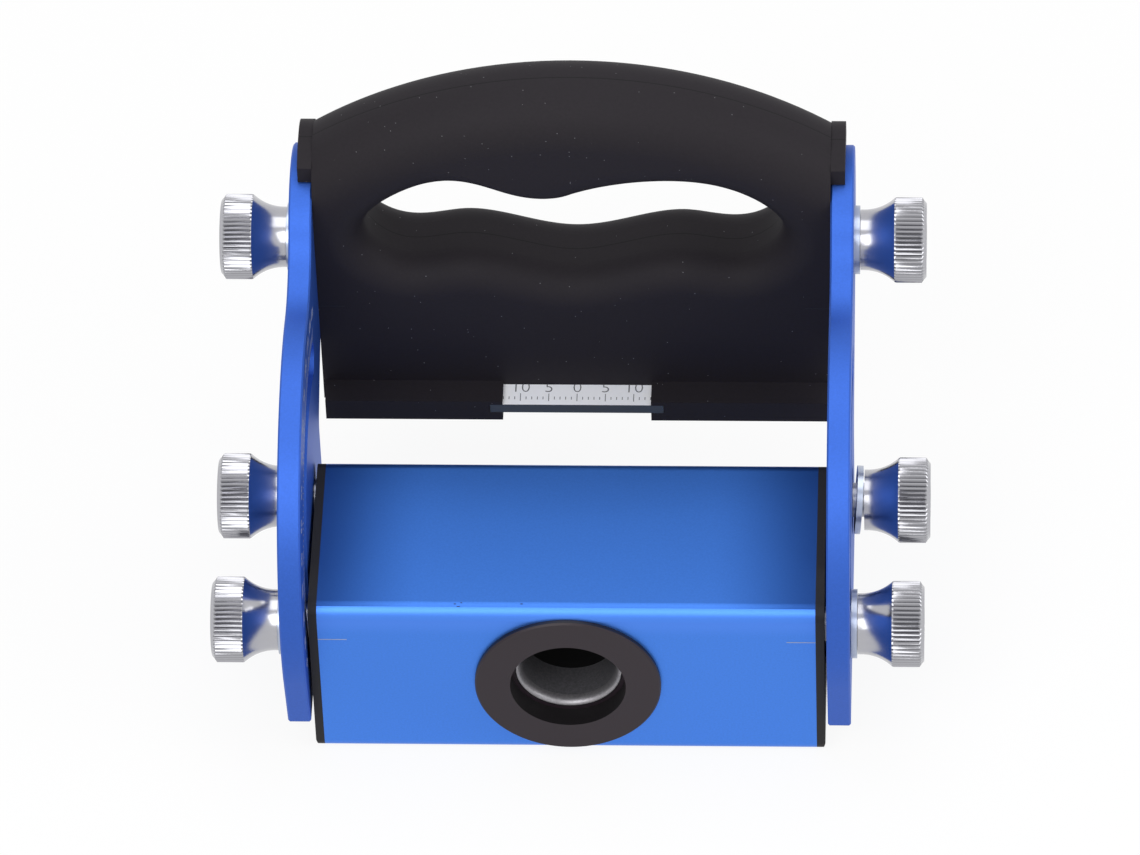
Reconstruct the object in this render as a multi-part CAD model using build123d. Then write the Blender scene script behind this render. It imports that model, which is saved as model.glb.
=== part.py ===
from build123d import *
import math
import os

# Angled drill guide for posts and rails: a square bar with a guide bore tilts between two
# slotted side plates, which straddle the work and carry a moulded handle with a small ruler.
# X runs across the guide, Y away from the user and Z up. The origin lies on the bore's axis,
# in the front face of the bar. All sizes are in millimetres.

# Fits
running_gap = 0.05
seat_gap = 0.02
face_gap = 0.1
tilt_play = 0.5

# Side plates
plate_gap = 90.0
plate_thickness = 4.0
plate_edge_break = 0.3
rim_radius = 37.2
toe_behind_rim = 4.2
sole_z = -9.5
heel_y = 47.0
step_z = 15.5
step_radius = 4.0
corner_radius = 1.0
valley_radius = 15.0
head_y = 66.5
head_z = 45.0
head_radius = 14.5

# Tilt
tilt_range = 130.0
slot_inside_rim = 12.2
slot_width = 6.4
slot_end_slack = 0.3
clamp_rest_angle = 191.8
pivot_below_top = 5.0
pivot_from_back = 4.5

# Drill block and its end pads
block_side = 36.0
block_edge_radius = 2.4
pad_thickness = 1.5
pad_bevel = 0.5
pad_bevel_height = 2.5

# Guide sleeve and drill bush
flange_radius = 16.15
flange_thickness = 1.0
flange_chamfer = 0.3
sleeve_radius = 12.0
mouth_radius = 10.05
mouth_depth = 3.75
bush_radius = 9.3
bush_length = 30.0
bush_bore_radius = 8.2
bush_chamfer = 0.4
lip_radius = 8.6

# Handle
handle_face_y = 59.5
handle_thickness = 19.0
crown_radius = 77.5
crown_above_heads = 5.3
crown_edge_radius = 9.0
hole_edge_radius = 6.0
hole_end = (36.5, 47.0)
hole_top = ((0.0, 56.4), (18.8, 59.9), (29.8, 56.6))
hole_bottom = ((0.0, 36.9), (20.0, 40.8), (30.0, 39.9))
ear_width = 2.5
ear_gap = 0.3
ear_drop = 0.4
ear_setback = 3.4
ear_reach_down = 8.15
top_stud_before_head = 1.5
top_stud_below_head = 1.4

# Ledge and ruler
ledge_depth = 5.1
ledge_height = 4.6
ledge_end_gap = 0.6
window_half_width = 13.1
ruler_half_length = 15.3
ruler_thickness = 2.0
ruler_below_ledge = 0.8
ruler_gap = 0.1

# Studs, washers and thumb nuts
stud_radius = 3.0
stud_depth = 12.0
top_stud_depth = 5.0
stud_short_of_nut = 2.0
stud_chamfer = 0.6
washer_radius = 6.0
washer_bore_radius = 3.2
washer_thickness = 1.0
nut_length = 11.5
nut_neck_radius = 5.35
nut_flare_length = 6.7
nut_head_radius = 7.45
nut_chamfer = 1.0
loose_nut = 0.85
loose_washer_tilt = 4.0

# Places worked out from the sizes above
sides = {"left": -1, "right": 1}
plate_inner_x = plate_gap / 2
plate_outer_x = plate_inner_x + plate_thickness
block_end_x = plate_inner_x - tilt_play - pad_thickness
block_top_z = block_side / 2
pivot = (block_side - pivot_from_back, block_top_z - pivot_below_top)
head = (head_y, head_z)
top_stud = (head_y - top_stud_before_head, head_z - top_stud_below_head)
slot_radius = rim_radius - slot_inside_rim
toe_y = pivot[0] - rim_radius + toe_behind_rim
foot_z = pivot[1] - pivot_from_back
handle_back_y = handle_face_y + handle_thickness
handle_middle_y = handle_face_y + handle_thickness / 2
crown_end_z = head_z + head_radius + crown_above_heads
crown_rise = crown_radius - math.sqrt(crown_radius**2 - plate_inner_x**2)
crown_top_z = crown_end_z + crown_rise
ledge_front_y = handle_face_y - ledge_depth
ledge_half_length = plate_inner_x - ledge_end_gap
ledge_top_z = foot_z + ledge_height
ruler_top_z = ledge_top_z - ruler_below_ledge
stud_hole_radius = stud_radius + running_gap


def polar(centre, radius, angle):
    """Point at an angle in degrees on a circle."""
    turn = math.radians(angle)
    return (centre[0] + radius * math.cos(turn), centre[1] + radius * math.sin(turn))


def direction(start, end):
    """Angle in degrees of the line from one point to another."""
    return math.degrees(math.atan2(end[1] - start[1], end[0] - start[0]))


def touch_angle(centre, radius, point, turn):
    """Angle on a circle where a line from an outside point touches it."""
    spread = math.degrees(math.acos(radius / math.dist(centre, point)))
    return direction(centre, point) + turn * spread


def arc_between(centre, radius, start, end):
    """Arc about a centre from one angle to another."""
    middle = polar(centre, radius, (start + end) / 2)
    return ThreePointArc(polar(centre, radius, start), middle, polar(centre, radius, end))


def rod(radius, place, start_x, end_x, side):
    """Round bar along X at a (y, z) place, between two distances out from the middle."""
    middle_x = side * (start_x + end_x) / 2
    return Pos(middle_x, *place) * Rot(0, 90, 0) * Cylinder(radius, end_x - start_x)


def along_bore(profile):
    """Solid turned about the bore's axis from (radius, y) points."""
    return revolve(make_face(Polyline(*profile, close=True)), Axis.Y)


clamp = polar(pivot, slot_radius, clamp_rest_angle)

# Side plate outline: foot, rim about the pivot, hollow, round head and stepped back
span = math.dist(pivot, head)
pivot_reach = rim_radius + valley_radius
head_reach = head_radius + valley_radius
valley_turn = math.acos((span**2 + pivot_reach**2 - head_reach**2) / (2 * span * pivot_reach))
valley = polar(pivot, pivot_reach, direction(pivot, head) + math.degrees(valley_turn))

toe = (toe_y, sole_z)
heel = (heel_y, sole_z)
step = (heel_y, step_z)
rim_start = touch_angle(pivot, rim_radius, toe, -1) % 360
rim_end = direction(pivot, valley)
head_start = direction(head, valley)
head_end = touch_angle(head, head_radius, step, 1)

outline = Line(toe, polar(pivot, rim_radius, rim_start))
outline += arc_between(pivot, rim_radius, rim_start, rim_end)
outline += arc_between(valley, valley_radius, rim_end + 180, head_start + 180)
outline += arc_between(head, head_radius, head_start, head_end)
outline += Line(polar(head, head_radius, head_end), step)
outline += Line(step, heel)
outline += Line(heel, toe)
plate_face = make_face(outline)


def corner(face, point):
    return face.vertices().sort_by_distance(Vertex(*point, 0))[0]


plate_face = fillet([corner(plate_face, toe), corner(plate_face, heel)], corner_radius)
plate_face = fillet([corner(plate_face, step)], step_radius)

# Arc slot in which the clamp studs travel, with the stud at rest at its front end
slot_end = clamp_rest_angle - tilt_range - slot_end_slack
slot_path = CenterArc(pivot, slot_radius, slot_end, tilt_range + slot_end_slack)
slot_face = SlotArc(slot_path, slot_width)
blank = extrude(Plane.YZ * plate_face, amount=plate_thickness)
blank = chamfer(blank.faces().filter_by(Axis.X).edges(), plate_edge_break)
blank -= extrude(Plane.YZ * slot_face, amount=plate_thickness)
for place in (pivot, top_stud):
    blank -= rod(stud_hole_radius, place, 0, plate_thickness, 1)

# Drill block: a solid square bar, bored for the sleeve and drilled for four studs
block = Pos(0, block_side / 2, 0) * Box(2 * block_end_x, block_side, block_side)
block = fillet(block.edges().filter_by(Axis.X), block_edge_radius)
block -= Pos(0, block_side / 2, 0) * Rot(90, 0, 0) * Cylinder(sleeve_radius + seat_gap, block_side)
for side in sides.values():
    for place in (pivot, clamp):
        block -= rod(stud_radius + seat_gap, place, block_end_x - stud_depth, block_end_x, side)

# End pad, with its lower outer edge bevelled
pad = Pos(pad_thickness / 2, block_side / 2, 0) * Box(pad_thickness, block_side, block_side)
pad = fillet(pad.edges().filter_by(Axis.X), block_edge_radius)
bevel = Polyline(
    (pad_thickness - pad_bevel, -block_top_z),
    (pad_thickness, -block_top_z),
    (pad_thickness, pad_bevel_height - block_top_z),
    close=True,
)
pad -= extrude(Plane.XZ * make_face(bevel), amount=-block_side)
for place in (pivot, clamp):
    pad -= rod(washer_bore_radius, place, 0, pad_thickness, 1)

# Guide sleeve: flange in front, stepped bore, and a lip that holds the bush at the back
bush_start_y = mouth_depth - flange_thickness
bush_end_y = bush_start_y + bush_length
sleeve = along_bore([
    (mouth_radius, -flange_thickness),
    (flange_radius - flange_chamfer, -flange_thickness),
    (flange_radius, flange_chamfer - flange_thickness),
    (flange_radius, 0),
    (sleeve_radius, 0),
    (sleeve_radius, block_side),
    (lip_radius, block_side),
    (lip_radius, bush_end_y),
    (bush_radius + seat_gap, bush_end_y),
    (bush_radius + seat_gap, bush_start_y),
    (mouth_radius, bush_start_y),
])

# Drill bush, chamfered where the drill enters
bush = along_bore([
    (bush_bore_radius + bush_chamfer, bush_start_y),
    (bush_radius - bush_chamfer, bush_start_y),
    (bush_radius, bush_start_y + bush_chamfer),
    (bush_radius, bush_end_y),
    (bush_bore_radius, bush_end_y),
    (bush_bore_radius, bush_start_y + bush_chamfer),
])


def front_view(face, start_y, depth):
    """Solid from a front view in X and Z, running back from start_y."""
    return extrude(Plane.XZ.offset(-start_y) * face, amount=-depth)


# Handle body: straight sides and foot under the crown's arc, with rounded long edges
crown_arc = ThreePointArc(
    (-plate_inner_x, crown_end_z), (0, crown_top_z), (plate_inner_x, crown_end_z)
)
handle_edge = crown_arc + Polyline(
    (plate_inner_x, crown_end_z),
    (plate_inner_x, foot_z),
    (-plate_inner_x, foot_z),
    (-plate_inner_x, crown_end_z),
)
handle = front_view(make_face(handle_edge), handle_face_y, handle_thickness)
crown_edges = handle.edges().filter_by(GeomType.CIRCLE)
handle = fillet(crown_edges, crown_edge_radius)

# Hand hole with its finger waves: the smooth loop is cut, then both rims are rounded
right_side = [*hole_top[1:], hole_end, *reversed(hole_bottom[1:])]
left_side = [(-x, z) for x, z in reversed(right_side)]
hole_loop = Spline(hole_top[0], *right_side, hole_bottom[0], *left_side, periodic=True)
handle -= front_view(make_face(hole_loop), handle_face_y, handle_thickness)
hole_rims = handle.edges().filter_by(GeomType.BSPLINE).group_by(Axis.Y)
handle = fillet(hole_rims[0] + hole_rims[-1], hole_edge_radius)

# Ears over the heads of the plates, which keep the handle from turning
ear_top_z = crown_end_z - ear_drop
section_height = ear_top_z - foot_z
section_middle = Pos(handle_middle_y, foot_z + section_height / 2)
ear_face = section_middle * Rectangle(handle_thickness, section_height)
top_corners = ear_face.vertices().group_by(Axis.Y)[-1]
ear_face = fillet(top_corners, crown_edge_radius - ear_drop)
kept_depth = handle_thickness - ear_setback
ear_middle = Pos(handle_back_y - kept_depth / 2, ear_top_z - ear_reach_down / 2)
ear_face &= ear_middle * Rectangle(kept_depth, ear_reach_down)
ear_face -= Pos(*head) * Circle(head_radius + ear_gap)
for side in sides.values():
    ear_start = plate_inner_x if side > 0 else -plate_inner_x - ear_width
    handle += extrude(Plane.YZ.offset(ear_start) * ear_face, amount=ear_width)
    handle -= rod(
        stud_radius + seat_gap, top_stud, plate_inner_x - top_stud_depth, plate_inner_x, side
    )

# Ledge across the foot, with a window and grooves for the ends of the ruler
ledge_middle = Pos(0, ledge_front_y + ledge_depth / 2, foot_z + ledge_height / 2)
ledge = ledge_middle * Box(2 * ledge_half_length, ledge_depth, ledge_height)
ledge -= ledge_middle * Box(2 * window_half_width, ledge_depth, ledge_height)
groove_length = 2 * (ruler_half_length + ruler_gap)
ruler_middle = Pos(0, ledge_front_y + ledge_depth / 2, ruler_top_z - ruler_thickness / 2)
ledge -= ruler_middle * Box(groove_length, ledge_depth, ruler_thickness)
handle += ledge
ruler = ruler_middle * Box(2 * ruler_half_length, ledge_depth - 2 * ruler_gap, ruler_thickness)

# Thumb nut, standing on its neck: concave flare up to a round head
flare = TangentArc(
    (nut_neck_radius, 0), (nut_head_radius, nut_flare_length), tangent=(0, 1)
)
nut_edge = flare + Polyline(
    (nut_head_radius, nut_flare_length),
    (nut_head_radius, nut_length - nut_chamfer),
    (nut_head_radius - nut_chamfer, nut_length),
    (stud_hole_radius, nut_length),
    (stud_hole_radius, 0),
    (nut_neck_radius, 0),
)
nut = revolve(Plane.XZ * make_face(nut_edge), Axis.Z)


def facing_out(shape, place, start_x, side):
    """Set a piece that stands on the XY plane against a side, at start_x from the middle."""
    seat = Plane(origin=(side * start_x, *place), x_dir=(0, 1, 0), z_dir=(side, 0, 0))
    return seat * shape


def export(shape, node):
    export_step(shape, f"parts/{node}.step")


os.makedirs("parts", exist_ok=True)
export(block, "drill_block")
export(sleeve, "guide_sleeve")
export(bush, "drill_bush")
export(handle, "grip_handle")
export(ruler, "ruler_plate")

washer = Pos(0, 0, washer_thickness / 2) * Cylinder(washer_radius, washer_thickness)
washer -= Pos(0, 0, washer_thickness / 2) * Cylinder(washer_bore_radius, washer_thickness)

# Each fixing: its place, where its stud starts, and the gap under its washer
fixings = {
    "top": (top_stud, plate_inner_x - top_stud_depth, 0.0),
    "pivot": (pivot, block_end_x - stud_depth, face_gap),
    "clamp": (clamp, block_end_x - stud_depth, face_gap),
}
washer_swing = math.radians(loose_washer_tilt)
tilted_depth = washer_thickness * math.cos(washer_swing)
tilted_depth += 2 * washer_radius * math.sin(washer_swing)

for name, side in sides.items():
    plate_start = plate_inner_x if side > 0 else -plate_outer_x
    export(Pos(plate_start, 0, 0) * blank, f"{name}_side_plate")
    pad_piece = Pos(block_end_x, 0, 0) * pad
    export(pad_piece if side > 0 else mirror(pad_piece, Plane.YZ), f"{name}_end_cap")
    for use, (place, stud_start, gap) in fixings.items():
        seat_x = plate_outer_x + gap
        nut_x = seat_x + washer_thickness + face_gap
        stud_end = nut_x + nut_length - stud_short_of_nut
        stud = rod(stud_radius, place, stud_start, stud_end, side)
        tip = stud.faces().sort_by(Axis.X)[-1 if side > 0 else 0]
        stud = chamfer(tip.edges(), stud_chamfer)
        export(stud, f"{name}_{use}_stud")
        loose = (name, use) == ("right", "pivot")
        if loose:
            middle_x = seat_x + tilted_depth / 2
            level = Pos(0, 0, -washer_thickness / 2) * washer
            hung = Pos(middle_x, *place) * Rot(0, 90 + loose_washer_tilt, 0) * level
            export(hung, f"{name}_{use}_washer")
            nut_x += loose_nut
        else:
            export(facing_out(washer, place, seat_x, side), f"{name}_{use}_washer")
        export(facing_out(nut, place, nut_x, side), f"{name}_{use}_nut")
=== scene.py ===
import bpy
import math
from mathutils import Matrix, Quaternion, Vector


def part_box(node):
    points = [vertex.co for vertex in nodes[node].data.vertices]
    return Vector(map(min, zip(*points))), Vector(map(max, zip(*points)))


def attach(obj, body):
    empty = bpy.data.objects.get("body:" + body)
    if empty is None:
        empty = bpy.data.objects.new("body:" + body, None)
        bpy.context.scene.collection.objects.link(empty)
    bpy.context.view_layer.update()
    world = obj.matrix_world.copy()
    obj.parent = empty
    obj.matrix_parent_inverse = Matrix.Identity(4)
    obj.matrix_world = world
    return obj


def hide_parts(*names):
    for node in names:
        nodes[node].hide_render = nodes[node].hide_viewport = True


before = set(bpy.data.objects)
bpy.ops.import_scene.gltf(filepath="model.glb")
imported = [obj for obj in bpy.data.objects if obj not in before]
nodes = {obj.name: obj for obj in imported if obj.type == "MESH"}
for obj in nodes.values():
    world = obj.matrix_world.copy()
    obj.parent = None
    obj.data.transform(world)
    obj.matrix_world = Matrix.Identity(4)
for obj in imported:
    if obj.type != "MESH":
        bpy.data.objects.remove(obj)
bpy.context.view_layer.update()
mm = 0.001
sides = {"left": -1, "right": 1}  # and the sign of X there
uses = ("top", "pivot", "clamp")
printSink = 0.05  # how far prints and marks reach into their face, in mm
print("frame loaded:", len(nodes), "nodes")


# Mesh helpers

def addPiece(name, verts, faces, material, body, smooth=False):
    # a mesh object with one material, which moves with its body if it has one
    mesh = bpy.data.meshes.new(name)
    mesh.from_pydata(verts, [], faces)
    mesh.update()
    piece = bpy.data.objects.new(name, mesh)
    bpy.context.scene.collection.objects.link(piece)
    mesh.materials.append(material)
    for face in mesh.polygons:
        face.use_smooth = smooth
    if body:
        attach(piece, body)
    return piece


def boxMesh(low, high):
    # corners and faces of a box, to be joined with others in one piece
    corners = [(x, y, z) for x in (low[0], high[0])
               for y in (low[1], high[1]) for z in (low[2], high[2])]
    faces = [(0, 1, 3, 2), (4, 6, 7, 5), (0, 4, 5, 1), (2, 3, 7, 6), (0, 2, 6, 4), (1, 5, 7, 3)]
    return corners, faces


def joinMeshes(parts):
    verts, faces = [], []
    for partVerts, partFaces in parts:
        start = len(verts)
        verts += partVerts
        faces += [tuple(start + index for index in face) for face in partFaces]
    return verts, faces


def ringFaces(rings, steps, flip=False):
    # quads from each ring of points to the next, and from the last one back to the first
    faces = []
    for ring in range(rings):
        after = (ring + 1) % rings
        for step in range(steps):
            beside = (step + 1) % steps
            corners = (ring * steps + step, ring * steps + beside,
                       after * steps + beside, after * steps + step)
            faces.append(corners[:1] + corners[:0:-1] if flip else corners)
    return faces


def textMesh(words, size, thickness, place, thinning=0.0):
    # letters as a mesh, moved by a matrix; thinning narrows the strokes, as a share of the size
    curve = bpy.data.curves.new("letters", "FONT")
    curve.body = words
    curve.size = size
    curve.extrude = thickness
    curve.offset = -thinning * size
    curve.align_x = "CENTER"
    curve.align_y = "CENTER"
    curve.resolution_u = 3
    letters = bpy.data.objects.new("letters", curve)
    bpy.context.scene.collection.objects.link(letters)
    graph = bpy.context.evaluated_depsgraph_get()
    mesh = bpy.data.meshes.new_from_object(letters.evaluated_get(graph))
    verts = [tuple(place @ vert.co) for vert in mesh.vertices]
    faces = [tuple(face.vertices) for face in mesh.polygons]
    bpy.data.objects.remove(letters)
    bpy.data.curves.remove(curve)
    bpy.data.meshes.remove(mesh)
    return verts, faces


# Node helpers

def linear(red, green, blue):
    # an sRGB colour in 0 to 255, as Blender's linear colour
    def channel(value):
        value /= 255
        return value / 12.92 if value <= 0.04045 else ((value + 0.055) / 1.055) ** 2.4
    return (channel(red), channel(green), channel(blue), 1.0)


def addMath(tree, operation, *values, clamp=False):
    # each value is a number or another node's output
    node = tree.nodes.new("ShaderNodeMath")
    node.operation = operation
    node.use_clamp = clamp
    for socket, value in zip(node.inputs, values):
        if isinstance(value, bpy.types.NodeSocket):
            tree.links.new(value, socket)
        else:
            socket.default_value = value
    return node.outputs[0]


def addAxis(tree, source, axis):
    # one axis of the object's own coordinates, "Object", or of its surface, "Normal"
    coord = tree.nodes.new("ShaderNodeTexCoord")
    split = tree.nodes.new("ShaderNodeSeparateXYZ")
    tree.links.new(coord.outputs[source], split.inputs[0])
    return split.outputs[axis]


def addRamp(tree, value, start, end, low, high):
    # a smooth step from low to high, while the value goes from start to end
    ramp = tree.nodes.new("ShaderNodeMapRange")
    ramp.interpolation_type = "SMOOTHSTEP"
    for socket, number in (("From Min", start), ("From Max", end), ("To Min", low), ("To Max", high)):
        ramp.inputs[socket].default_value = number
    tree.links.new(value, ramp.inputs["Value"])
    return ramp.outputs["Result"]


def addGroup(tree, group, values):
    # a shared effect, with this material's own values
    node = tree.nodes.new("ShaderNodeGroup")
    node.node_tree = group
    for socket, value in values.items():
        node.inputs[socket].default_value = value
    return node.outputs


def coverColour(tree, colour, mask, cover):
    # a second colour, laid over the first by a mask
    mix = tree.nodes.new("ShaderNodeMix")
    mix.data_type = "RGBA"
    mix.inputs["B"].default_value = cover
    tree.links.new(mask, mix.inputs["Factor"])
    tree.links.new(colour, mix.inputs["A"])
    return mix.outputs["Result"]


# Shared surface effects

def newGroup(name, inputs, outputs):
    # a group with number sockets only, and its two end nodes
    group = bpy.data.node_groups.new(name, "ShaderNodeTree")
    for direction, sockets in (("INPUT", inputs), ("OUTPUT", outputs)):
        for socket in sockets:
            group.interface.new_socket(socket, in_out=direction, socket_type="NodeSocketFloat")
    return group, group.nodes.new("NodeGroupInput"), group.nodes.new("NodeGroupOutput")


def makeGrainGroup():
    # fine grain: a shade to multiply a colour by, and a height for a bump
    group, into, out = newGroup("surfaceGrain", ("Scale", "Contrast"), ("Shade", "Height"))
    noiseMiddle = 0.5
    coord, noise = group.nodes.new("ShaderNodeTexCoord"), group.nodes.new("ShaderNodeTexNoise")
    noise.inputs["Detail"].default_value = 3
    group.links.new(coord.outputs["Object"], noise.inputs["Vector"])
    group.links.new(into.outputs["Scale"], noise.inputs["Scale"])
    height = noise.outputs["Fac"]
    centred = addMath(group, "SUBTRACT", height, noiseMiddle)
    change = addMath(group, "MULTIPLY", centred, into.outputs["Contrast"])
    group.links.new(addMath(group, "ADD", change, 1.0), out.inputs["Shade"])
    group.links.new(height, out.inputs["Height"])
    return group


def makeSpeckGroup():
    # sparse pale specks, as a mask: the middles of a share of the cells
    group, into, out = newGroup("paleSpecks", ("Scale", "Size", "Share"), ("Mask",))
    coord, cells = group.nodes.new("ShaderNodeTexCoord"), group.nodes.new("ShaderNodeTexVoronoi")
    split = group.nodes.new("ShaderNodeSeparateColor")
    group.links.new(coord.outputs["Object"], cells.inputs["Vector"])
    group.links.new(into.outputs["Scale"], cells.inputs["Scale"])
    group.links.new(cells.outputs["Color"], split.inputs[0])
    small = addMath(group, "LESS_THAN", cells.outputs["Distance"], into.outputs["Size"])
    chosen = addMath(group, "LESS_THAN", split.outputs[0], into.outputs["Share"])
    group.links.new(addMath(group, "MULTIPLY", small, chosen), out.inputs["Mask"])
    return group


def makeFrontGroup():
    # faces that look to the front, as a mask: the Y of their normal is below the limit
    group, into, out = newGroup("frontFaces", ("Limit",), ("Mask",))
    front = addMath(group, "LESS_THAN", addAxis(group, "Normal", "Y"), into.outputs["Limit"])
    group.links.new(front, out.inputs["Mask"])
    return group


grainGroup = makeGrainGroup()
speckGroup = makeSpeckGroup()
frontGroup = makeFrontGroup()


# Finishes

def speckMask(tree, look):
    return addGroup(tree, speckGroup, {"Scale": look["speckScale"], "Size": look["speckSize"],
                                       "Share": look["speckShare"]})["Mask"]


def frontMask(tree, look):
    return addGroup(tree, frontGroup, {"Limit": look["frontLimit"]})["Mask"]


def seamMask(tree, look):
    # a fine line round the moulding, where its two halves met
    offset = addMath(tree, "SUBTRACT", addAxis(tree, "Object", "Y"), look["seamY"])
    return addMath(tree, "LESS_THAN", addMath(tree, "ABSOLUTE", offset), look["seamHalfWidth"])


def edgeMask(tree, look):
    # painted highlight: the front face is paler along its top, below the rounded edge
    height = addRamp(tree, addAxis(tree, "Object", "Z"), look["edgeFrom"], look["edgeTo"],
                     0, look["edgeHighlightShare"])
    front = addMath(tree, "MULTIPLY", addAxis(tree, "Normal", "Y"), -1, clamp=True)
    return addMath(tree, "MULTIPLY", height, front)


def endMask(tree, look):
    # painted shade: the top is darker than the front, most of all at its two ends beside the plates
    across = addMath(tree, "ABSOLUTE", addAxis(tree, "Object", "X"))
    ends = addRamp(tree, across, look["endFrom"], look["endTo"], look["middleShade"], look["endShade"])
    upward = addMath(tree, "GREATER_THAN", addAxis(tree, "Normal", "Z"), look["upwardLimit"])
    return addMath(tree, "MULTIPLY", ends, upward)


def grooveMask(tree, look):
    # painted shade in the bottoms of the knurling, by the depth stored in the mesh
    depth = tree.nodes.new("ShaderNodeAttribute")
    depth.attribute_name = look["grooveAttribute"]
    return depth.outputs["Fac"]


overlays = {"speckColour": speckMask, "frontColour": frontMask, "seamColour": seamMask,
            "edgeHighlightColour": edgeMask, "endShadeColour": endMask, "grooveShadeColour": grooveMask}
plainSpecular = 0.5
bumpDistance = 0.02 * mm


def makeFinish(name, look):
    # one material: a colour with grain, the overlays whose colour it has, and a fine bump
    material = bpy.data.materials.new(name)
    material.use_nodes = True
    tree = material.node_tree
    shader = tree.nodes["Principled BSDF"]
    shader.inputs["Metallic"].default_value = look["metallic"]
    shader.inputs["Roughness"].default_value = look["roughness"]
    shader.inputs["Specular IOR Level"].default_value = look.get("specular", plainSpecular)
    grain = addGroup(tree, grainGroup, {"Scale": look["grainScale"], "Contrast": look["grainContrast"]})
    tint = tree.nodes.new("ShaderNodeVectorMath")
    tint.operation = "SCALE"
    tint.inputs[0].default_value = look["colour"][:3]
    tree.links.new(grain["Shade"], tint.inputs["Scale"])
    colour = tint.outputs["Vector"]
    for cover, makeMask in overlays.items():
        if cover in look:
            colour = coverColour(tree, colour, makeMask(tree, look), look[cover])
    tree.links.new(colour, shader.inputs["Base Color"])
    bump = tree.nodes.new("ShaderNodeBump")
    bump.inputs["Strength"].default_value = look["bump"]
    bump.inputs["Distance"].default_value = bumpDistance
    tree.links.new(grain["Height"], bump.inputs["Height"])
    tree.links.new(bump.outputs["Normal"], shader.inputs["Normal"])
    return material


gripFront = 59.5 * mm  # the grip's front face, behind the ledge
gripMiddle = (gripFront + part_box("grip_handle")[1].y) / 2

finishes = {
    "blockBlue": dict(colour=linear(72, 131, 226), metallic=0.9, roughness=0.44,
                      grainScale=2600, grainContrast=0.22, bump=0.25,
                      # painted highlight along the top of the front face, below the rounded edge
                      edgeHighlightColour=linear(82, 138, 236), edgeHighlightShare=0.8,
                      edgeFrom=11.6 * mm, edgeTo=15.0 * mm,
                      # painted shade over the top, darkest at its two ends beside the plates
                      endShadeColour=linear(22, 58, 120), endShade=0.82, middleShade=0.37,
                      endFrom=24 * mm, endTo=44 * mm, upwardLimit=0.9),
    "plateBlue": dict(colour=linear(52, 95, 187), metallic=0.75, roughness=0.5,
                      grainScale=2600, grainContrast=0.25, bump=0.3),
    "gripBlack": dict(colour=linear(37, 34, 38), metallic=0.0, roughness=0.62, specular=0.13,
                      grainScale=1800, grainContrast=0.25, bump=0.35,
                      speckScale=1000, speckSize=0.085, speckShare=0.14,
                      speckColour=linear(112, 112, 116),
                      seamY=gripMiddle, seamHalfWidth=0.09 * mm,
                      seamColour=linear(20, 20, 22)),
    "padBlack": dict(colour=linear(26, 25, 28), metallic=0.0, roughness=0.6, specular=0.3,
                     grainScale=2000, grainContrast=0.2, bump=0.2),
    "sleeveBlack": dict(colour=linear(26, 24, 26), metallic=0.0, roughness=0.4, specular=0.3,
                        grainScale=2200, grainContrast=0.2, bump=0.2,
                        # front faces get a lighter, browner black than the walls inside the mouth: the
                        # brown is the sleeve's own tint, the darkness of the walls is painted shade
                        frontColour=linear(38, 29, 36), frontLimit=-0.5),
    "bushSteel": dict(colour=linear(150, 148, 152), metallic=0.75, roughness=0.4,
                      grainScale=2400, grainContrast=0.8, bump=0.6),
    "boreSteel": dict(colour=linear(124, 123, 128), metallic=0.6, roughness=0.28,
                      grainScale=2400, grainContrast=0.9, bump=0.6),
    "bushDark": dict(colour=linear(22, 22, 23), metallic=0.3, roughness=0.6, specular=0.2,
                     grainScale=1500, grainContrast=0.2, bump=0.2),
    "nutChrome": dict(colour=linear(178, 178, 183), metallic=1.0, roughness=0.19,
                      grainScale=1500, grainContrast=0.06, bump=0.1,
                      # painted shade in the bottoms of the knurling's grooves
                      grooveShadeColour=linear(126, 126, 131), grooveAttribute="grooveDepth"),
    "studSteel": dict(colour=linear(170, 171, 176), metallic=1.0, roughness=0.3,
                      grainScale=1500, grainContrast=0.15, bump=0.2),
    "washerZinc": dict(colour=linear(178, 186, 202), metallic=1.0, roughness=0.28,
                       grainScale=1500, grainContrast=0.12, bump=0.2),
    "rulerWhite": dict(colour=linear(246, 247, 250), metallic=0.0, roughness=0.6, specular=0.2,
                       grainScale=1500, grainContrast=0.04, bump=0.1,
                       frontColour=linear(72, 78, 84), frontLimit=-0.5),
    "inkGrey": dict(colour=linear(98, 99, 104), metallic=0.0, roughness=0.7, specular=0.2,
                    grainScale=1500, grainContrast=0.05, bump=0.05),
    "markDark": dict(colour=linear(14, 14, 16), metallic=0.0, roughness=0.6,
                     grainScale=1500, grainContrast=0.05, bump=0.05),
    "markPale": dict(colour=linear(156, 162, 178), metallic=0.0, roughness=0.55,
                     grainScale=1500, grainContrast=0.05, bump=0.05),
}
materials = {name: makeFinish(name, look) for name, look in finishes.items()}

nodeFinish = {"drill_block": "blockBlue", "grip_handle": "gripBlack", "ruler_plate": "rulerWhite",
              "guide_sleeve": "sleeveBlack", "drill_bush": "bushSteel"}
for side in sides:
    nodeFinish[f"{side}_side_plate"] = "plateBlue"
    nodeFinish[f"{side}_end_cap"] = "padBlack"
    for use in uses:
        nodeFinish[f"{side}_{use}_stud"] = "studSteel"
        nodeFinish[f"{side}_{use}_washer"] = "washerZinc"
for node, finish in nodeFinish.items():
    nodeMesh = nodes[node].data
    nodeMesh.materials.clear()
    nodeMesh.materials.append(materials[finish])
print("finishes set:", len(nodeFinish), "nodes")

# Knurled thumb nuts

thumbNut = dict(neckRadius=5.3, neckLength=0.6, flareLength=5.9, flareInset=0.12, flareSteps=14,
                headRadius=7.45, length=11.5, chamfer=0.8, shoulderInset=0.45, rimInset=0.2,
                boreRadius=3.05, teeth=56, toothDepth=0.42, toothShape=(0, 0.55, 1, 0.55),
                toothFade=0.3, sharpAngle=32)


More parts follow.
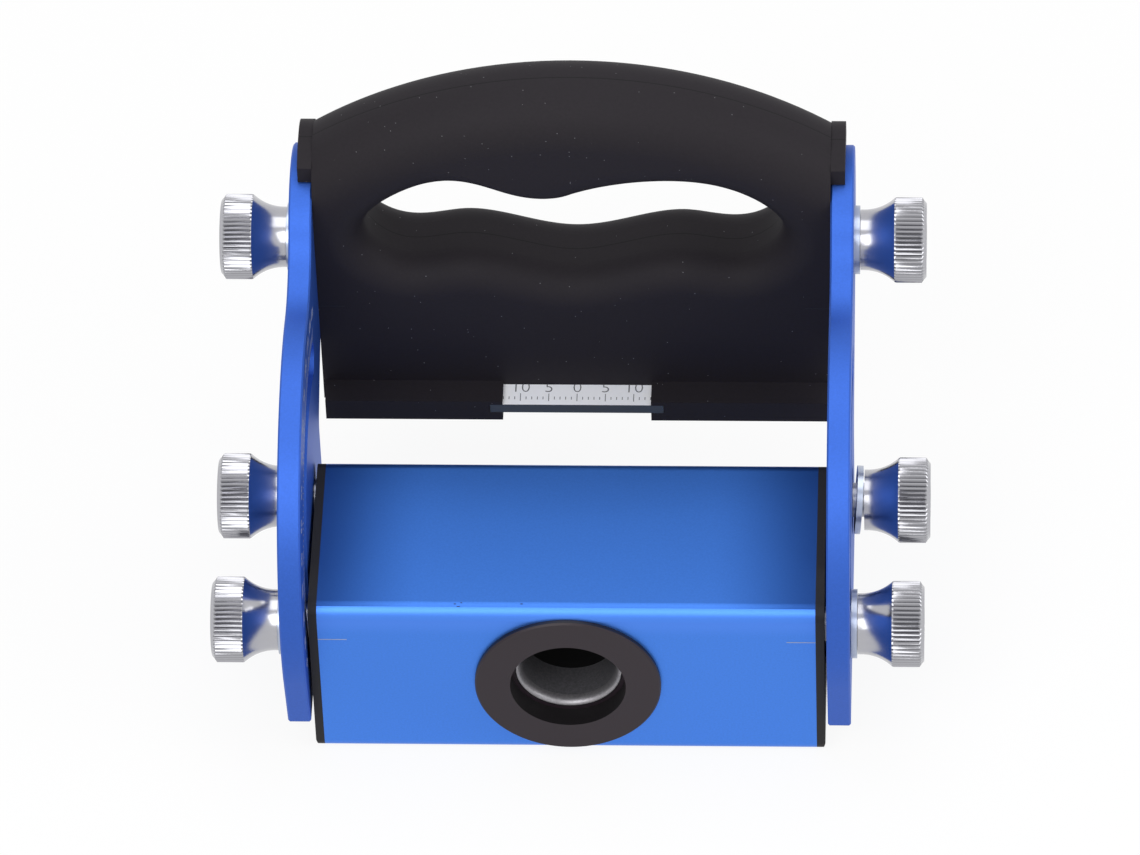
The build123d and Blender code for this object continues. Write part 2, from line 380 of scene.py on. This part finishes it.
def nutRings():
    # rings from the neck's face, up the flare, over the head and back down the bore:
    # each is (radius, height, how much of the tooth shows)
    spec = thumbNut
    head, top, fade = spec["headRadius"], spec["length"], spec["toothFade"]
    reach = head - spec["flareInset"] - spec["neckRadius"]
    climb = spec["flareLength"] - spec["neckLength"]
    arcRadius = (reach ** 2 + climb ** 2) / (2 * reach)
    sweep = math.asin(climb / arcRadius)
    rings = [(spec["boreRadius"], 0, 0), (spec["neckRadius"], 0, 0)]
    for step in range(spec["flareSteps"] + 1):
        angle = sweep * step / spec["flareSteps"]
        rings.append((spec["neckRadius"] + arcRadius * (1 - math.cos(angle)),
                      spec["neckLength"] + arcRadius * math.sin(angle), 0))
    rings += [(head, spec["flareLength"] + fade, 1),
              (head, top - spec["chamfer"], 1),
              (head - spec["shoulderInset"], top - spec["chamfer"] + fade, 0),
              (head - spec["chamfer"] - spec["rimInset"], top, 0),
              (spec["boreRadius"], top, 0)]
    return rings


def nutMesh():
    # one nut, standing on its neck, with the depth of the groove at each point
    spec = thumbNut
    shape = spec["toothShape"]
    count = spec["teeth"] * len(shape)
    rings = nutRings()
    verts, grooves = [], []
    for radius, height, tooth in rings:
        for step in range(count):
            angle = 2 * math.pi * step / count
            depth = spec["toothDepth"] * shape[step % len(shape)] * tooth
            verts.append(((radius - depth) * math.cos(angle) * mm,
                          (radius - depth) * math.sin(angle) * mm, height * mm))
            grooves.append(depth / spec["toothDepth"])
    return verts, ringFaces(len(rings), count), grooves


nutVerts, nutFaces, nutGrooves = nutMesh()
for side, sign in sides.items():
    nutTurn = Matrix.Rotation(sign * math.pi / 2, 4, "Y")
    for use in uses:
        node = f"{side}_{use}_nut"
        low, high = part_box(node)
        middle = (low + high) / 2
        foot = Vector((low.x if sign > 0 else high.x, middle.y, middle.z))
        nutPlace = Matrix.Translation(foot) @ nutTurn
        verts = [tuple(nutPlace @ Vector(vert)) for vert in nutVerts]
        nut = addPiece(f"{side}{use.title()}Knob", verts, nutFaces, materials["nutChrome"], node,
                       smooth=True)
        nut.data.set_sharp_from_angle(angle=math.radians(thumbNut["sharpAngle"]))
        groove = nut.data.attributes.new(finishes["nutChrome"]["grooveAttribute"], "FLOAT", "POINT")
        groove.data.foreach_set("value", nutGrooves)
        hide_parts(node)
print("thumb nuts made")

# Drill bush, with a rounded lead-in and a bore that is bright for its first part only

bushLook = dict(boreRadius=8.2, leadWidth=0.9, leadDepth=1.7, leadSteps=6, brightLength=7.9,
                rimWidth=0.15, rimDepth=0.2, chamfer=0.4, segments=96, sharpAngle=35)


def bushMesh():
    # a closed ring turned about Y: rounded lead-in, bright bore, dark bore, plain outside;
    # slot 1 is the bright bore, 2 the dark one, 0 all the rest
    spec = bushLook
    low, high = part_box("drill_bush")
    outside = (high.x - low.x) / 2
    bore, wide, deep = spec["boreRadius"] * mm, spec["leadWidth"] * mm, spec["leadDepth"] * mm
    profile = [(outside, high.y - spec["chamfer"] * mm),
               (outside, low.y + spec["rimDepth"] * mm),
               (outside - spec["rimWidth"] * mm, low.y)]
    for step in range(spec["leadSteps"] + 1):
        angle = math.pi / 2 * step / spec["leadSteps"]
        profile.append((bore + wide * (1 - math.sin(angle)), low.y + deep * (1 - math.cos(angle))))
    darkFrom = len(profile)
    profile += [(bore, low.y + spec["brightLength"] * mm), (bore, high.y),
                (outside - spec["chamfer"] * mm, high.y)]
    verts, slots = [], []
    for ring, (radius, y) in enumerate(profile):
        for step in range(spec["segments"]):
            angle = 2 * math.pi * step / spec["segments"]
            verts.append((radius * math.cos(angle), y, radius * math.sin(angle)))
            slots.append({darkFrom - 1: 1, darkFrom: 2}.get(ring, 0))
    return verts, ringFaces(len(profile), spec["segments"], flip=True), slots


bushVerts, bushFaces, bushSlots = bushMesh()
bush = addPiece("turnedBush", bushVerts, bushFaces, materials["bushSteel"], "drill_block", smooth=True)
bush.data.materials.append(materials["boreSteel"])
bush.data.materials.append(materials["bushDark"])
bush.data.polygons.foreach_set("material_index", bushSlots)
bush.data.set_sharp_from_angle(angle=math.radians(bushLook["sharpAngle"]))
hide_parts("drill_bush")
print("bush made")

# Ruler print

rulerPrint = dict(reach=13, longEvery=5, longTick=1.8, longFront=0.9, shortTick=0.65, shortFront=1.3,
                  tickWidth=0.13, numbers=(-10, -5, 0, 5, 10), letterSize=3.5, letterBack=0.8,
                  thinning=0.018, lift=0.02)


def rulerMesh():
    # a tick at each millimetre, set back from the ruler's front edge, and numbers behind them
    spec = rulerPrint
    low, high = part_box("ruler_plate")
    half, lift = spec["tickWidth"] / 2 * mm, spec["lift"] * mm
    parts = []
    for mark in range(-spec["reach"], spec["reach"] + 1):
        kind = "long" if mark % spec["longEvery"] == 0 else "short"
        startY = low.y + spec[f"{kind}Front"] * mm
        parts.append(boxMesh((mark * mm - half, startY, high.z - printSink * mm),
                             (mark * mm + half, startY + spec[f"{kind}Tick"] * mm, high.z + lift)))
    for number in spec["numbers"]:
        place = Matrix.Translation((number * mm, high.y - spec["letterBack"] * mm, high.z))
        parts.append(textMesh(str(abs(number)), spec["letterSize"] * mm, lift, place,
                              thinning=spec["thinning"]))
    return joinMeshes(parts)


rulerMarks = addPiece("rulerMarks", *rulerMesh(), materials["inkGrey"], "frame")

# Angle scale inside the left plate

angleScale = dict(pivotY=31.5, pivotZ=13.0, slotRadius=25.0, slotHalfWidth=3.2, restAngle=191.8,
                  travel=130, tickStep=2, numberStep=10, tickStart=0.6, longTick=2.2, shortTick=1.3,
                  tickWidth=0.16, letterRadius=33.4, letterSize=2.6, lift=0.02)


def scaleMesh():
    # ticks round the slot, from its edge outwards, and a number beyond each long one
    spec = angleScale
    centre = Vector((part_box("left_side_plate")[1].x, spec["pivotY"] * mm, spec["pivotZ"] * mm))
    normal = Vector((1, 0, 0))
    inner = spec["slotRadius"] + spec["slotHalfWidth"] + spec["tickStart"]
    half = spec["tickWidth"] / 2
    parts = []
    for tilt in range(0, spec["travel"] + 1, spec["tickStep"]):
        angle = math.radians(spec["restAngle"] - tilt)
        out = Vector((0, math.cos(angle), math.sin(angle)))
        along = Vector((0, -math.sin(angle), math.cos(angle)))
        numbered = tilt % spec["numberStep"] == 0
        length = spec["longTick"] if numbered else spec["shortTick"]
        corners, faces = boxMesh((-printSink, -half, inner), (spec["lift"], half, inner + length))
        corners = [tuple(centre + (normal * x + along * y + out * z) * mm) for x, y, z in corners]
        parts.append((corners, faces))
        if numbered:
            place = Matrix.Translation(centre + out * spec["letterRadius"] * mm)
            turn = Matrix(((0, 0, 1, 0), (-along.y, out.y, 0, 0),
                           (-along.z, out.z, 0, 0), (0, 0, 0, 1)))
            parts.append(textMesh(str(tilt), spec["letterSize"] * mm, spec["lift"] * mm, place @ turn))
    return joinMeshes(parts)


plateScale = addPiece("plateAngleScale", *scaleMesh(), materials["markPale"], "frame")

# Index lines on the handle and the block

indexLine = dict(handleZ=31.9, handleLength=4.6, blockZ=10.7, blockLength=5.0, width=0.16, lift=0.015)


def indexMesh(edge, front, height, length):
    # a level line on a front face at each side, from the edge inwards
    half = indexLine["width"] / 2
    parts = []
    for sign in sides.values():
        xs = sorted((sign * edge, sign * (edge - length * mm)))
        parts.append(boxMesh((xs[0], front - indexLine["lift"] * mm, (height - half) * mm),
                             (xs[1], front + printSink * mm, (height + half) * mm)))
    return joinMeshes(parts)


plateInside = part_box("right_side_plate")[0].x
blockLow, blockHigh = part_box("drill_block")
handleLines = addPiece("handleIndexLines", *indexMesh(plateInside, gripFront, indexLine["handleZ"],
                                                      indexLine["handleLength"]),
                       materials["markDark"], "frame")
blockLines = addPiece("blockIndexLines", *indexMesh(blockHigh.x, blockLow.y, indexLine["blockZ"],
                                                    indexLine["blockLength"]),
                      materials["markPale"], "drill_block")

# Nicks in the block's rounded edge, each placed by (x, angle on the edge, length)

edgeNicks = dict(places=((-19.1, 78, 0.35), (-18.5, 66, 0.5), (-18.0, 84, 0.3), (-7.6, 80, 0.4)),
                 height=0.14, cornerRadius=2.4, sink=0.03)


def nickMesh():
    spec = edgeNicks
    corner = spec["cornerRadius"]
    edgeCentre = Vector((0, blockLow.y + corner * mm, blockHigh.z - corner * mm))
    parts = []
    for x, angle, length in spec["places"]:
        turn = math.radians(angle)
        out = Vector((0, -math.cos(turn), math.sin(turn))) * (corner - spec["sink"]) * mm
        middle = edgeCentre + out + Vector((x * mm, 0, 0))
        half = Vector((length, spec["height"], spec["height"])) * mm / 2
        parts.append(boxMesh(middle - half, middle + half))
    return joinMeshes(parts)


nicks = addPiece("blockEdgeNicks", *nickMesh(), materials["markDark"], "drill_block")
print("prints and marks made")

# Floor, light and camera

studio = dict(floorZ=-18.0, floorSize=6.0, floorColour=(0.86, 0.86, 0.86, 1), floorRoughness=0.9,
              floorWhite=0.9, worldFill=0.55, backgroundWhite=1.0, worldColour=(1, 1, 1, 1))


def seenRays(tree):
    # 1 for camera, glossy and transmission rays
    path = tree.nodes.new("ShaderNodeLightPath")
    total = path.outputs["Is Camera Ray"]
    for ray in ("Is Glossy Ray", "Is Transmission Ray"):
        total = addMath(tree, "ADD", total, path.outputs[ray], clamp=True)
    return total


def mixShaders(tree, share, first, second, output):
    mix = tree.nodes.new("ShaderNodeMixShader")
    tree.links.new(share, mix.inputs["Fac"])
    tree.links.new(first.outputs[0], mix.inputs[1])
    tree.links.new(second.outputs[0], mix.inputs[2])
    tree.links.new(mix.outputs[0], tree.nodes[output].inputs["Surface"])


floorMaterial = bpy.data.materials.new("paleFloor")
floorMaterial.use_nodes = True
floorTree = floorMaterial.node_tree
floorShader = floorTree.nodes["Principled BSDF"]
floorShader.inputs["Base Color"].default_value = studio["floorColour"]
floorShader.inputs["Roughness"].default_value = studio["floorRoughness"]
floorShader.inputs["Specular IOR Level"].default_value = 0.0
glow = floorTree.nodes.new("ShaderNodeEmission")
glowShare = addMath(floorTree, "MULTIPLY", seenRays(floorTree), studio["floorWhite"])
mixShaders(floorTree, glowShare, floorShader, glow, "Material Output")

reach = studio["floorSize"] / 2
floorCorners = [(x * reach, y * reach, studio["floorZ"] * mm)
                for x, y in ((-1, -1), (1, -1), (1, 1), (-1, 1))]
floor = addPiece("floor", floorCorners, [(0, 1, 2, 3)], floorMaterial, None)

# the world lights the part with the first background, and shows the second one
world = bpy.data.worlds.new("studioWorld")
bpy.context.scene.world = world
world.use_nodes = True
worldTree = world.node_tree
fill, white = worldTree.nodes["Background"], worldTree.nodes.new("ShaderNodeBackground")
for background, strength in ((fill, studio["worldFill"]), (white, studio["backgroundWhite"])):
    background.inputs["Strength"].default_value = strength
    background.inputs["Color"].default_value = studio["worldColour"]
mixShaders(worldTree, seenRays(worldTree), fill, white, "World Output")

softboxes = {
    "keyLight": dict(place=(-0.35, -0.75, 0.95), size=0.9, power=7.0),
    "rightLight": dict(place=(0.95, -0.25, 0.6), size=0.7, power=4.0),
    "topLight": dict(place=(0.0, 0.35, 1.2), size=0.9, power=4.0),
}
lightTarget = Vector((0, 0.035, 0.02))
for name, softbox in softboxes.items():
    light = bpy.data.lights.new(name, "AREA")
    light.shape = "SQUARE"
    light.size = softbox["size"]
    light.energy = softbox["power"]
    lamp = bpy.data.objects.new(name, light)
    lamp.location = softbox["place"]
    lamp.rotation_euler = (lightTarget - lamp.location).to_track_quat("-Z", "Y").to_euler()
    bpy.context.scene.collection.objects.link(lamp)

view = dict(place=(0.0730, -1.1220, 1.2613), target=(0.00065, 0.0230, 0.04006),
            lens=307.6, sensor=36.0, roll=-2.29, clipEnd=20)
cameraData = bpy.data.cameras.new("camera")
cameraData.lens = view["lens"]
cameraData.sensor_width = view["sensor"]
cameraData.sensor_fit = "HORIZONTAL"
cameraData.clip_end = view["clipEnd"]
camera = bpy.data.objects.new("camera", cameraData)
camera.location = view["place"]
cameraTurn = (Vector(view["target"]) - camera.location).to_track_quat("-Z", "Y")
camera.rotation_euler = (cameraTurn @ Quaternion((0, 0, 1), math.radians(view["roll"]))).to_euler()
bpy.context.scene.collection.objects.link(camera)
bpy.context.scene.camera = camera
bpy.context.scene.view_settings.view_transform = "Standard"
print("floor, light and camera set")
